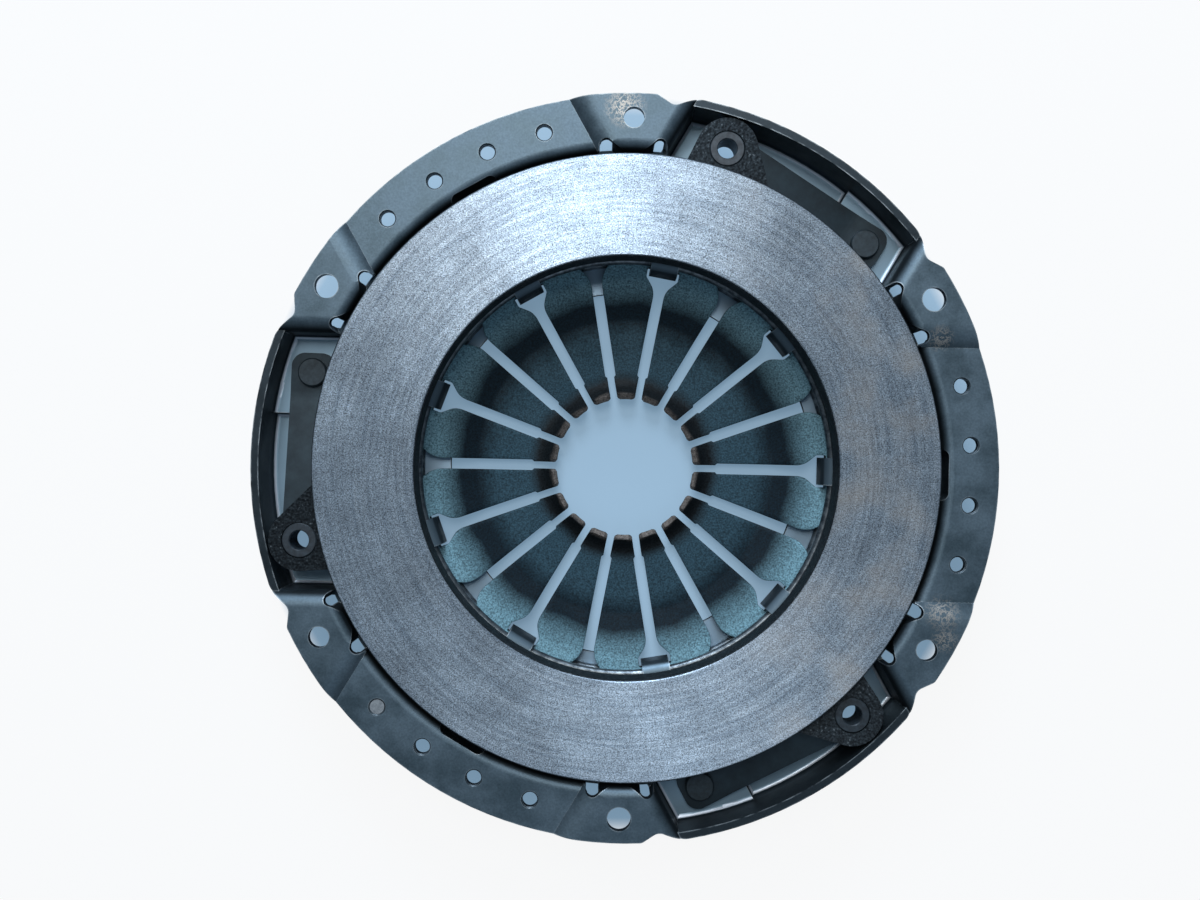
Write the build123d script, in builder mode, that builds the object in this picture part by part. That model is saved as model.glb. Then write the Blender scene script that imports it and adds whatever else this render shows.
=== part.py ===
from build123d import *
import math
import os

# Clutch cover assembly, 240 mm class. Millimetres.
# +Z points to the flywheel and z = 0 is the plane of the bolting feet.
# +X runs through the middle of a rim sector.

# Bolt pattern and feet
bolt_circle_radius = 135.0
bolt_hole_diameter = 9.2
dowel_hole_diameter = 8.1
foot_margin = 9.3
bowl_wall_inset = 12.0
tongue_overhang = 0.4
window_side_gap = 0.8
window_end_radius = 2.6
window_depth = 14.0
foot_outer_radius = bolt_circle_radius + foot_margin
bowl_radius = bolt_circle_radius - bowl_wall_inset
tongue_radius = bowl_wall_inset + tongue_overhang
window_half_width = tongue_radius + window_side_gap
foot_offset = bolt_circle_radius * math.sin(math.radians(30))

# Pressed cover
sheet = 3.0
sector_drop = 3.0
sector_foot_gap = 18.2
sector_slope_radius = 14.0
bowl_mouth_radius = 4.0
bowl_depth = 35.0
shoulder_height = 11.0
shoulder_fillet = 4.0
pocket_foot_gap = 17.5
pocket_mouth_radius = 6.0
pocket_rim_drop = 3.5
pad_depth = 18.4
pad_step = 4.6
pad_length = 31.0
floor_fillet = 2.0
valley_rise = 5.5
valley_offset = 0.5
valley_foot_offset = 8.2
valley_fillet = 4.0
foot_corner_fillet = 3.0
wall_corner_fillet = 7.0
vent_half_length = 10.0
vent_reach = 2.0
vent_corner_radius = 3.0
vent_depth = 12.0
balance_circle_inset = 1.3
balance_hole_diameter = 5.8
balance_hole_chamfer = 0.5
balance_hole_angles = (-15, -5, 5, 15)
balance_rivet_angle = 225
balance_rivet_head_diameter = 9.0
balance_rivet_head_height = 1.8
balance_rivet_recess = 0.4
sector_half_width = foot_offset - sector_foot_gap
pocket_half_width = foot_offset - pocket_foot_gap
pocket_depth = pad_depth + pad_step
pad_edge = pocket_half_width - pad_length
bowl_wall_depth = bowl_depth - shoulder_height
valley_radius = bolt_circle_radius + valley_rise
vent_outer_radius = bowl_radius + vent_reach
balance_circle_radius = bolt_circle_radius - balance_circle_inset

# Pressure plate
bowl_clearance = 1.35
friction_ring_width = 39.7
friction_face_drop = 0.8
friction_edge_chamfer = 0.7
plate_travel = 8.0
tab_top_clearance = 0.7
rim_clearance = 0.6
rim_step = 5.15
ridge_nose_radius = 3.0
ridge_base_half_width = 5.5
ridge_gap_count = 6
ridge_gap_width = 12.0
friction_outer_radius = bowl_radius - bowl_clearance
friction_inner_radius = friction_outer_radius - friction_ring_width
rim_radius = friction_outer_radius - rim_step

# Wire rings
wire_diameter = 3.6
fulcrum_step = 2.55
wire_seat_gap = 0.1
rocking_gap = 0.3
wire_radius = wire_diameter / 2
fulcrum_radius = friction_inner_radius + fulcrum_step

# Bearing opening and bent tabs
tab_count = 9
tab_width = 11.2
tab_reach = 0.7
tab_relief = 2.0
tab_relief_depth = 4.5
opening_lip = 7.3
scallop_depth = 6.0
scallop_half_angle = 11.0
tab_bend_radius = wire_radius + wire_seat_gap
tab_inner_radius = fulcrum_radius - tab_bend_radius - sheet
tab_end_radius = fulcrum_radius + tab_reach
opening_radius = tab_inner_radius - opening_lip
scallop_radius = opening_radius + scallop_depth

# Diaphragm spring
spring_thickness = 2.6
spring_inset = 11.65
ridge_inset = 3.0
spring_cone_angle = 10.0
finger_count = 18
finger_bend_gap = 4.6
finger_step_length = 14.0
finger_step_height = 4.0
finger_fall = 0.5
finger_round = 8.0
finger_tip_radius = 28.9
tip_curl_length = 4.9
tip_curl_height = 5.6
tip_corner_radius = 1.2
tip_slot_width = 2.9
tip_slot_length = 9.1
finger_slot_width = 4.4
tab_keyhole_clearance = 1.0
tab_keyhole_gap = 0.6
tab_flare_gap = 0.5
tab_flare_length = 5.3
tab_flare_round = 8.0
tab_keyhole_corner = 0.6
finger_corner_radius = 11.0
plain_keyhole_gap = 3.0
plain_keyhole_corner = 2.5
spring_outer_radius = friction_outer_radius - spring_inset
ridge_radius = spring_outer_radius - ridge_inset
finger_bend_radius = tab_inner_radius - finger_bend_gap
finger_step_radius = finger_bend_radius - finger_step_length
tip_curl_radius = finger_tip_radius + tip_curl_length
tip_slot_end = finger_tip_radius + tip_slot_length
tab_keyhole_start = tab_inner_radius - tab_flare_gap
tab_keyhole_end = tab_inner_radius + sheet + tab_keyhole_gap
tab_flare_start = tab_keyhole_start - tab_flare_length
finger_slot_end = tab_flare_start - tab_flare_length
plain_keyhole_start = finger_bend_radius
plain_keyhole_end = fulcrum_radius + plain_keyhole_gap

# Straps, lugs and rivets
rivet_wall_gap = 7.2
cover_rivet_side_gap = 14.8
lug_rivet_side_gap = 19.2
lug_radius = 12.0
lug_wall_gap = 0.5
lug_top_drop = 4.5
lug_tail_depth = 10.5
lug_boss_height = 1.5
lug_base_inset = 3.15
lug_heel_length = 12.0
lug_tail_length = 19.0
lug_base_round = 2.0
leaf_count = 3
leaf_thickness = 0.75
leaf_pitch = 0.8
strap_width = 17.5
strap_overhang = 7.8
strap_corner_radius = 5.5
strap_clamped_length = 9.0
strap_bend_radius = 60.0
cover_rivet_shank = 6.0
cover_rivet_head_diameter = 11.4
cover_rivet_head_height = 2.2
cover_rivet_tail_diameter = 8.0
cover_rivet_tail_height = 2.0
lug_rivet_shank = 10.0
lug_rivet_bore = 7.6
lug_rivet_flange_diameter = 13.6
lug_rivet_flange_height = 2.0
lug_rivet_tail_diameter = 12.4
lug_rivet_tail_height = 2.2
lug_counterbore_clearance = 0.4
rivet_hole_clearance = 0.1
access_hole_clearance = 2.2
rivet_circle_radius = bowl_radius + rivet_wall_gap
pocket_wall_radius = rivet_circle_radius + lug_radius + lug_wall_gap
lug_seat_depth = lug_tail_depth + lug_boss_height
lug_base_radius = friction_outer_radius - lug_base_inset
access_hole_diameter = lug_rivet_tail_diameter + access_hole_clearance

# Angles of the rivets and of the valleys beside a pocket, from the pocket's own middle
pocket_angles = (60, 180, 300)
sector_angles = (0, 120, 240)
third_turns = (0, 120, 240)
crest = pocket_half_width + pocket_mouth_radius
wall_outside = pocket_wall_radius + sheet
cover_rivet_turn = math.degrees(math.asin((pocket_half_width - cover_rivet_side_gap) / rivet_circle_radius))
lug_turn = math.degrees(math.asin((pocket_half_width - lug_rivet_side_gap) / rivet_circle_radius))
cover_rivet_angle = pocket_angles[0] - cover_rivet_turn
lug_angle = pocket_angles[0] + lug_turn
valley_angle = math.degrees(math.asin((crest + valley_offset) / valley_radius))
valley_foot_angle = math.degrees(math.asin((crest + valley_foot_offset) / foot_outer_radius))
valley_wall_angle = math.degrees(math.asin(pocket_half_width / wall_outside))

# Levels that follow from the sizes above
cone = math.radians(spring_cone_angle)
cover_back = -bowl_depth - sheet
cover_wire_z = -bowl_depth + wire_seat_gap + wire_radius
wire_offset = (spring_thickness / 2 + rocking_gap + wire_radius) / math.cos(cone)
fulcrum_z = cover_wire_z + wire_offset
flywheel_wire_z = fulcrum_z + wire_offset
tab_underside = flywheel_wire_z + wire_radius + wire_seat_gap
tab_top = tab_underside + sheet
stack_height = (leaf_count - 1) * leaf_pitch + leaf_thickness
strap_pad_z = -pad_depth
strap_lug_z = -lug_seat_depth - stack_height
plate_back = tab_top + plate_travel + tab_top_clearance
rim_back = strap_pad_z + stack_height + plate_travel + rim_clearance
half_span = math.radians(lug_angle - cover_rivet_angle) / 2
strap_half_pitch = rivet_circle_radius * math.sin(half_span)
strap_chord_radius = rivet_circle_radius * math.cos(half_span)
strap_axis_angle = (lug_angle + cover_rivet_angle) / 2
ceiling = 4.0
blank_radius = max(foot_outer_radius, wall_outside) + 12.0


def at_angle(angle, radius=0.0, z=0.0):
    # A place at this angle and radius, turned with its X axis outwards.
    turn = math.radians(angle)
    return Location((radius * math.cos(turn), radius * math.sin(turn), z), (0, 0, angle))


def bowl_space(depth, drop):
    # Space inside the bowl, with its mouth at the drop given, grown by the depth.
    shift = depth * math.tan(math.radians(22.5))
    back_radius = bowl_radius - shoulder_height
    lip = bowl_radius + bowl_mouth_radius
    mouth = bowl_mouth_radius - depth
    with BuildPart() as space:
        with BuildSketch(Plane.XZ):
            with BuildLine():
                Polyline((0, ceiling), (lip, ceiling), (lip, -drop - depth))
                arc = CenterArc((lip, -drop - bowl_mouth_radius), mouth, 90, 90)
                Polyline(
                    arc @ 1,
                    (bowl_radius + depth, -bowl_wall_depth - shift),
                    (back_radius + shift, -bowl_depth - depth),
                    (0, -bowl_depth - depth),
                    (0, ceiling),
                )
            sketch = make_face()
            corners = [
                v
                for v in sketch.vertices()
                if v.X > 1 and v.Y < -bowl_wall_depth
            ]
            fillet(corners, shoulder_fillet + depth)
        revolve(axis=Axis.Z)
    return space.part


def sector_space(depth):
    # Space over one rim sector: a shallow tray with long curved sides, open outwards.
    run = math.sqrt(sector_slope_radius**2 - (sector_slope_radius - sector_drop) ** 2)
    sector_crest = sector_half_width + run
    radius = sector_slope_radius - depth
    turn = math.degrees(math.acos((radius - sector_drop) / radius))
    with BuildPart() as space:
        with BuildSketch(Plane.YZ.offset(bowl_radius * 0.8)):
            with BuildLine():
                right = CenterArc((sector_crest, -sector_slope_radius), radius, 90, turn)
                left = CenterArc((-sector_crest, -sector_slope_radius), radius, 90, -turn)
                Line(right @ 1, left @ 1)
                Polyline(
                    left @ 0, (-sector_crest, ceiling), (sector_crest, ceiling), right @ 0
                )
            make_face()
        extrude(amount=blank_radius - bowl_radius * 0.8)
    return space.part


def pocket_side_profile(depth, floor):
    # Section across a pocket, with rounded mouth edges and floor corners.
    side = pocket_half_width + depth
    radius = pocket_mouth_radius - depth
    with BuildSketch() as profile:
        with BuildLine():
            right = CenterArc((crest, -pocket_mouth_radius), radius, 90, 90)
            left = CenterArc((-crest, -pocket_mouth_radius), radius, 90, -90)
            Polyline(right @ 1, (side, -floor - depth), (-side, -floor - depth), left @ 1)
            Polyline(left @ 0, (-crest, ceiling), (crest, ceiling), right @ 0)
        make_face()
        bottom = profile.vertices().group_by(Axis.Y)[0]
        fillet(bottom, floor_fillet + depth)
    return profile.sketch


def pocket_reach(depth, floor):
    # Everything inside the outer wall of the pockets, with a rounded foot.
    with BuildPart() as reach:
        with BuildSketch(Plane.XZ):
            with BuildLine():
                Polyline(
                    (0, ceiling),
                    (pocket_wall_radius + depth, ceiling),
                    (pocket_wall_radius + depth, -floor - depth),
                    (0, -floor - depth),
                    close=True,
                )
            sketch = make_face()
            corner = sketch.vertices().sort_by(Axis.X)[-2:].sort_by(Axis.Y)[0]
            fillet(corner, floor_fillet + depth)
        revolve(axis=Axis.Z)
    return reach.part


def pocket_space(depth):
    # Space in one pocket: the rivet pad, the deep floor beside it and the low rim.
    start = bowl_radius * 0.8
    across = Plane.YZ.offset(start)
    with BuildPart() as space:
        with BuildSketch(across):
            add(pocket_side_profile(depth, pad_depth))
        extrude(amount=blank_radius - start)
        add(pocket_reach(depth, pad_depth), mode=Mode.INTERSECT)
        with BuildPart(mode=Mode.PRIVATE) as deep:
            with BuildSketch(across):
                with BuildLine():
                    Polyline(
                        (-pad_edge - depth, -pad_depth + sheet),
                        (pocket_half_width + depth, -pad_depth + sheet),
                        (pocket_half_width + depth, -pocket_depth - depth),
                        (-pad_edge - depth, -pocket_depth - depth),
                        close=True,
                    )
                sketch = make_face()
                fillet(sketch.vertices().group_by(Axis.Y)[0], floor_fillet + depth)
            extrude(amount=blank_radius - start)
            add(pocket_reach(depth, pocket_depth), mode=Mode.INTERSECT)
        add(deep.part)
        with BuildPart(mode=Mode.PRIVATE) as rim:
            with BuildSketch(across):
                add(pocket_side_profile(depth, pad_depth))
                with Locations((0, -pocket_rim_drop - depth)):
                    Rectangle(200, 100, align=(Align.CENTER, Align.MAX), mode=Mode.SUBTRACT)
            extrude(amount=blank_radius - start)
        add(rim.part)
    return space.part


def cover_space(depth):
    # All space on the flywheel side of the sheet, grown into the sheet by the depth.
    sector_mouth = bowl_space(depth, sector_drop)
    with BuildPart() as mouth_limit:
        Box(
            blank_radius,
            2 * (sector_half_width + depth),
            4 * bowl_depth,
            align=(Align.MIN, Align.CENTER, Align.CENTER),
        )
    with BuildPart() as one_mouth:
        add(sector_mouth)
        add(mouth_limit.part, mode=Mode.INTERSECT)
    with BuildPart() as space:
        with Locations((0, 0, -depth)):
            Cylinder(blank_radius, ceiling + depth, align=(Align.CENTER, Align.CENTER, Align.MIN))
        add(bowl_space(depth, 0))
        with Locations(*[at_angle(a) for a in sector_angles]):
            add(sector_space(depth))
            add(one_mouth.part)
        with Locations(*[at_angle(a) for a in pocket_angles]):
            add(pocket_space(depth))
    return space.part


def polar(radius, angle):
    turn = math.radians(angle)
    return (radius * math.cos(turn), radius * math.sin(turn))


def blank_outline():
    # Trim line of the pressing: feet and sectors, the pocket walls and the valleys.
    with BuildSketch() as outline:
        Circle(foot_outer_radius)
        with BuildSketch(mode=Mode.PRIVATE) as strip:
            Rectangle(
                blank_radius, 2 * (pocket_half_width + sheet), align=(Align.MIN, Align.CENTER)
            )
        with BuildSketch(mode=Mode.PRIVATE) as bulge:
            Circle(wall_outside)
            add(strip.sketch, mode=Mode.INTERSECT)
        with Locations(*[at_angle(a) for a in pocket_angles]):
            add(strip.sketch, mode=Mode.SUBTRACT)
        with Locations(*[at_angle(a) for a in pocket_angles]):
            add(bulge.sketch)
        with BuildSketch(mode=Mode.PRIVATE) as valley:
            with BuildLine():
                Polyline(
                    polar(foot_outer_radius, valley_foot_angle),
                    polar(valley_radius, valley_angle),
                    polar(wall_outside, valley_wall_angle),
                    polar(blank_radius, valley_wall_angle),
                    polar(blank_radius, valley_foot_angle),
                    close=True,
                )
            face = make_face()
            tip = face.vertices().sort_by(lambda v: math.hypot(v.X, v.Y))[0]
            fillet(tip, valley_fillet)
        with Locations(*[at_angle(a) for a in pocket_angles]):
            add(valley.sketch, mode=Mode.SUBTRACT)
            add(mirror(valley.sketch, Plane.XZ, mode=Mode.PRIVATE), mode=Mode.SUBTRACT)
        foot_corners = [
            v
            for v in outline.vertices()
            if abs(abs((math.degrees(math.atan2(v.Y, v.X)) % 120) - 60) - valley_foot_angle) < 0.3
        ]
        fillet(foot_corners, foot_corner_fillet)
        wall_corners = [
            v
            for v in outline.vertices()
            if abs(abs((math.degrees(math.atan2(v.Y, v.X)) % 120) - 60) - valley_wall_angle) < 0.3
        ]
        fillet(wall_corners, wall_corner_fillet)
    return outline.sketch


def foot_window():
    # Opening round the inner tongue of a foot, with a round notch at each end.
    center_radius = tongue_radius + window_end_radius
    side = window_half_width - window_end_radius
    back = math.sqrt(center_radius**2 - side**2)
    touch = tongue_radius / center_radius
    start = bowl_radius * 0.9
    with BuildSketch() as window:
        for half_width, end in (
            (side * touch, bolt_circle_radius - back * touch),
            (window_half_width, bolt_circle_radius - back),
        ):
            with Locations(((start + end) / 2, 0)):
                Rectangle(end - start, 2 * half_width)
        with Locations((bolt_circle_radius - back, side), (bolt_circle_radius - back, -side)):
            Circle(window_end_radius)
        with Locations((bolt_circle_radius, 0)):
            Circle(tongue_radius, mode=Mode.SUBTRACT)
    return window.sketch


def tab_profile():
    # Section of a tab: up from the back wall and over the flywheel side ring.
    inner, outer = tab_inner_radius, tab_inner_radius + sheet
    root = outer + tab_bend_radius + 4.0
    with BuildSketch(Plane.XZ) as profile:
        with BuildLine():
            Polyline(
                (root, cover_back),
                (inner, cover_back),
                (inner, tab_top),
                (tab_end_radius, tab_top),
                (tab_end_radius, tab_underside),
                (outer, tab_underside),
                (outer, -bowl_depth),
                (root, -bowl_depth),
                close=True,
            )
        make_face()
        bends = profile.vertices()
        fillet([v for v in bends if abs(v.X - inner) < 0.01], tab_bend_radius + sheet)
        fillet([v for v in profile.vertices() if abs(v.X - outer) < 0.01], tab_bend_radius)
    return profile.sketch


def make_cover():
    with BuildPart() as cover:
        add(cover_space(sheet))
        add(cover_space(0), mode=Mode.SUBTRACT)
        with BuildPart(mode=Mode.PRIVATE) as trim:
            with BuildSketch(Plane.XY.offset(-2 * bowl_depth)):
                add(blank_outline())
            extrude(amount=2 * bowl_depth + 1)
        add(trim.part, mode=Mode.INTERSECT)
        add(cover_cuts(), mode=Mode.SUBTRACT)
        with BuildPart(mode=Mode.PRIVATE) as tab:
            with BuildSketch(Plane.XZ):
                add(tab_profile())
            extrude(amount=tab_width / 2, both=True)
        with Locations(*[at_angle(k * 360 / tab_count) for k in range(tab_count)]):
            add(tab.part)
    return cover.part


def cover_cuts():
    # Everything that is pierced through the sheet.
    with BuildPart() as cuts:
        # Windows at the feet and vents in the sectors
        with BuildPart(mode=Mode.PRIVATE) as window:
            with BuildSketch(Plane.XY.offset(-window_depth)):
                add(foot_window())
            extrude(amount=window_depth + 1)
        with Locations(*[at_angle(a) for a in range(30, 390, 60)]):
            add(window.part)
        with BuildPart(mode=Mode.PRIVATE) as vent:
            with BuildSketch(Plane.XY.offset(-sector_drop - vent_depth)):
                with Locations((vent_outer_radius, 0)):
                    RectangleRounded(
                        16, 2 * vent_half_length, vent_corner_radius, align=(Align.MAX, Align.CENTER)
                    )
            extrude(amount=vent_depth + 2)
        with Locations(*[at_angle(a) for a in sector_angles]):
            add(vent.part)

        # Bolt, dowel, balance and rivet holes, and the way in to the lug rivets
        with Locations(*[at_angle(a, bolt_circle_radius) for a in (30, 150, 270)]):
            Cylinder(bolt_hole_diameter / 2, 4 * sheet)
        with Locations(*[at_angle(a, bolt_circle_radius) for a in (90, 210, 330)]):
            Cylinder(dowel_hole_diameter / 2, 4 * sheet)
        balance_places = [
            at_angle(sector + angle, balance_circle_radius, -sector_drop)
            for sector in sector_angles
            for angle in balance_hole_angles
        ]
        with Locations(*balance_places):
            Cylinder(balance_hole_diameter / 2, 4 * sheet)
            Cone(
                balance_hole_diameter / 2,
                balance_hole_diameter / 2 + balance_hole_chamfer,
                balance_hole_chamfer,
                align=(Align.CENTER, Align.CENTER, Align.MAX),
            )
        for turn in third_turns:
            with Locations(at_angle(cover_rivet_angle + turn, rivet_circle_radius, -pad_depth)):
                Cylinder(cover_rivet_shank / 2 + rivet_hole_clearance, 4 * sheet)
            with Locations(at_angle(lug_angle + turn, rivet_circle_radius, -pocket_depth)):
                Cylinder(access_hole_diameter / 2, 5 * sheet)

        # Bearing opening with its scallops, and the reliefs beside each tab
        with Locations((0, 0, cover_back)):
            Cylinder(opening_radius, 4 * sheet)
        near = opening_radius * 0.9
        with BuildPart(mode=Mode.PRIVATE) as scallop:
            with BuildSketch(Plane.XY.offset(cover_back - 1)):
                with BuildLine():
                    rim = CenterArc(
                        (0, 0), scallop_radius, -scallop_half_angle, 2 * scallop_half_angle
                    )
                    Polyline(
                        rim @ 1,
                        polar(near, scallop_half_angle),
                        polar(near, -scallop_half_angle),
                        rim @ 0,
                    )
                make_face()
            extrude(amount=sheet + 2)
        with Locations(*[at_angle(20 + turn) for turn in third_turns]):
            add(scallop.part)
        relief_radius = tab_inner_radius + tab_relief_depth
        with BuildPart(mode=Mode.PRIVATE) as relief:
            with Locations((relief_radius, 0, cover_back - 1)):
                Box(
                    relief_radius - near,
                    tab_width + 2 * tab_relief,
                    sheet + 2,
                    align=(Align.MAX, Align.CENTER, Align.MIN),
                )
            fillet(relief.edges().filter_by(Axis.Z).group_by(Axis.X)[-1], tab_relief / 2)
        with Locations(*[at_angle(k * 360 / tab_count) for k in range(tab_count)]):
            add(relief.part)
    return cuts.part


def make_wire_ring(z):
    # Round wire ring that the spring rocks on.
    with BuildPart() as ring:
        with BuildSketch(Plane.XZ):
            with Locations((fulcrum_radius, z)):
                Circle(wire_radius)
        revolve(axis=Axis.Z)
    return ring.part


def spring_level(radius):
    # Middle of the spring's sheet on its cone.
    return fulcrum_z + (radius - fulcrum_radius) * math.tan(cone)


def make_diaphragm_spring():
    # Slotted disc spring: one turned sheet, cut into fingers.
    bend_z = spring_level(finger_bend_radius)
    step_z = bend_z - finger_step_height
    curl_z = step_z - finger_fall
    with BuildPart() as spring:
        with BuildSketch(Plane.XZ) as profile:
            with BuildLine() as middle:
                FilletPolyline(
                    (finger_tip_radius, curl_z + tip_curl_height),
                    (tip_curl_radius, curl_z),
                    (finger_step_radius, step_z),
                    (finger_bend_radius, bend_z),
                    (spring_outer_radius, spring_level(spring_outer_radius)),
                    radius=finger_round,
                )
            trace(line_width=spring_thickness)
        revolve(axis=Axis.Z)
        reach = 2 * bowl_depth
        half_slot = finger_slot_width / 2
        half_tip = tip_slot_width / 2
        corner = (finger_tip_radius + tip_corner_radius, half_tip + tip_corner_radius)
        with BuildPart(mode=Mode.PRIVATE) as slot:
            with BuildSketch(Plane.XY.offset(-reach)):
                Rectangle(tip_slot_end + 1, tip_slot_width, align=(Align.MIN, Align.CENTER))
                with Locations((tip_slot_end, 0)):
                    Rectangle(
                        finger_slot_end + 2 - tip_slot_end,
                        finger_slot_width,
                        align=(Align.MIN, Align.CENTER),
                    )
                # Beside the mouth of the slot, the finger's end is cut to a round corner
                Rectangle(corner[0], 2 * corner[1], align=(Align.MIN, Align.CENTER))
                with Locations(corner, (corner[0], -corner[1])):
                    Circle(tip_corner_radius, mode=Mode.SUBTRACT)
            extrude(amount=reach)
        half_keyhole = tab_width / 2 + tab_keyhole_clearance
        with BuildPart(mode=Mode.PRIVATE) as tab_keyhole:
            with BuildSketch(Plane.XY.offset(-reach)) as keyhole:
                with BuildLine():
                    Polyline(
                        (finger_slot_end, half_slot),
                        (tab_flare_start, half_slot),
                        (tab_keyhole_start, half_keyhole),
                        (tab_keyhole_end, half_keyhole),
                        (tab_keyhole_end, -half_keyhole),
                        (tab_keyhole_start, -half_keyhole),
                        (tab_flare_start, -half_slot),
                        (finger_slot_end, -half_slot),
                        close=True,
                    )
                make_face()
                fillet(keyhole.vertices().group_by(Axis.X)[-1], tab_keyhole_corner)
                fillet(keyhole.vertices().group_by(Axis.X)[1], tab_flare_round)
            extrude(amount=reach)
        spread = plain_keyhole_end - plain_keyhole_gap - plain_keyhole_start
        turn = math.degrees(math.asin(spread / finger_corner_radius))
        with BuildPart(mode=Mode.PRIVATE) as plain_keyhole:
            with BuildSketch(Plane.XY.offset(-reach)) as keyhole:
                with BuildLine():
                    center = (plain_keyhole_start, half_slot + finger_corner_radius)
                    above = CenterArc(center, finger_corner_radius, -90, turn)
                    center = (plain_keyhole_start, -half_slot - finger_corner_radius)
                    below = CenterArc(center, finger_corner_radius, 90, -turn)
                    Polyline(
                        above @ 1,
                        (plain_keyhole_end, (above @ 1).Y),
                        (plain_keyhole_end, (below @ 1).Y),
                        below @ 1,
                    )
                    Polyline(
                        above @ 0,
                        (finger_slot_end, half_slot),
                        (finger_slot_end, -half_slot),
                        below @ 0,
                    )
                make_face()
                fillet(keyhole.vertices().group_by(Axis.X)[-1], plain_keyhole_corner)
            extrude(amount=reach)
        finger_angles = [k * 360 / finger_count for k in range(finger_count)]
        tab_angles = [k * 360 / tab_count for k in range(tab_count)]
        with Locations(*[at_angle(a) for a in finger_angles]):
            add(slot.part, mode=Mode.SUBTRACT)
        with Locations(*[at_angle(a) for a in tab_angles]):
            add(tab_keyhole.part, mode=Mode.SUBTRACT)
        with Locations(*[at_angle(a) for a in finger_angles if a not in tab_angles]):
            add(plain_keyhole.part, mode=Mode.SUBTRACT)
    return spring.part


def make_pressure_plate():
    # Cast ring: friction face, bore chamfers, a ridge for the spring and three lugs.
    nose_offset = (spring_thickness / 2 + rocking_gap + ridge_nose_radius) / math.cos(cone)
    nose_z = spring_level(ridge_radius) + nose_offset
    base = ridge_base_half_width
    with BuildPart() as plate:
        with BuildSketch(Plane.XZ) as section:
            with BuildLine():
                Polyline(
                    (friction_inner_radius, -friction_face_drop),
                    (friction_outer_radius, -friction_face_drop),
                    (friction_outer_radius, rim_back),
                    (rim_radius, rim_back),
                    (rim_radius, plate_back),
                    (friction_inner_radius, plate_back),
                    close=True,
                )
            make_face()
            chamfer(section.vertices().group_by(Axis.Y)[-1], friction_edge_chamfer)
        revolve(axis=Axis.Z)
        with BuildSketch(Plane.XZ) as ridge:
            with BuildLine():
                Polyline(
                    (ridge_radius - base, plate_back + 1),
                    (ridge_radius + base, plate_back + 1),
                    (ridge_radius + ridge_nose_radius, nose_z),
                    (ridge_radius - ridge_nose_radius, nose_z),
                    close=True,
                )
            make_face()
            with Locations((ridge_radius, nose_z)):
                Circle(ridge_nose_radius)
        revolve(axis=Axis.Z)
        for k in range(ridge_gap_count):
            with Locations(at_angle(k * 360 / ridge_gap_count, ridge_radius, plate_back)):
                Box(
                    4 * base,
                    ridge_gap_width,
                    2 * bowl_depth,
                    align=(Align.CENTER, Align.CENTER, Align.MAX),
                    mode=Mode.SUBTRACT,
                )

        with BuildPart(mode=Mode.PRIVATE) as lug:
            with BuildSketch(Plane.XY.offset(-lug_tail_depth)):
                with Locations((rivet_circle_radius, 0)):
                    Circle(lug_radius)
                with Locations((lug_base_radius, lug_heel_length), (lug_base_radius, -lug_tail_length)):
                    Circle(lug_base_round)
                make_hull()
            extrude(amount=lug_tail_depth - lug_top_drop)
            with Locations((rivet_circle_radius, 0, -lug_seat_depth)):
                Cylinder(
                    strap_width / 2,
                    lug_seat_depth - lug_tail_depth + 1,
                    align=(Align.CENTER, Align.CENTER, Align.MIN),
                )
        for turn in third_turns:
            with Locations(at_angle(lug_angle + turn)):
                add(lug.part)
            with Locations(at_angle(lug_angle + turn, rivet_circle_radius, -lug_top_drop)):
                Cylinder(
                    lug_rivet_shank / 2 + rivet_hole_clearance, 4 * lug_seat_depth, mode=Mode.SUBTRACT
                )
                Cylinder(
                    (lug_rivet_flange_diameter + lug_counterbore_clearance) / 2,
                    2 * lug_rivet_flange_height,
                    mode=Mode.SUBTRACT,
                )
    return plate.part


def make_strap_leaf(index, turn):
    # One leaf of a strap: flat where it is riveted, with a gentle S between.
    half = strap_half_pitch
    flat = half - strap_clamped_length
    low = strap_pad_z + index * leaf_pitch
    high = strap_lug_z + index * leaf_pitch
    lug_end = half + strap_overhang
    with BuildPart() as leaf:
        with BuildSketch(Plane.YZ.offset(strap_chord_radius - strap_width / 2)):
            with BuildLine():
                bottom = FilletPolyline(
                    (-lug_end, low), (-flat, low), (flat, high), (lug_end, high),
                    radius=strap_bend_radius,
                )
                top = FilletPolyline(
                    (-lug_end, low + leaf_thickness),
                    (-flat, low + leaf_thickness),
                    (flat, high + leaf_thickness),
                    (lug_end, high + leaf_thickness),
                    radius=strap_bend_radius,
                )
                Line(bottom @ 0, top @ 0)
                Line(bottom @ 1, top @ 1)
            make_face()
        extrude(amount=strap_width)
        with BuildPart(mode=Mode.PRIVATE) as plan:
            with BuildSketch(Plane.XY.offset(-bowl_depth)):
                with Locations((strap_chord_radius, 0)):
                    RectangleRounded(strap_width, 2 * lug_end, strap_corner_radius)
                with Locations((strap_chord_radius, -half)):
                    Circle(cover_rivet_shank / 2 + rivet_hole_clearance, mode=Mode.SUBTRACT)
                with Locations((strap_chord_radius, half)):
                    Circle(lug_rivet_shank / 2 + rivet_hole_clearance, mode=Mode.SUBTRACT)
            extrude(amount=bowl_depth)
        add(plan.part, mode=Mode.INTERSECT)
    return leaf.part.moved(at_angle(strap_axis_angle + turn))


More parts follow.
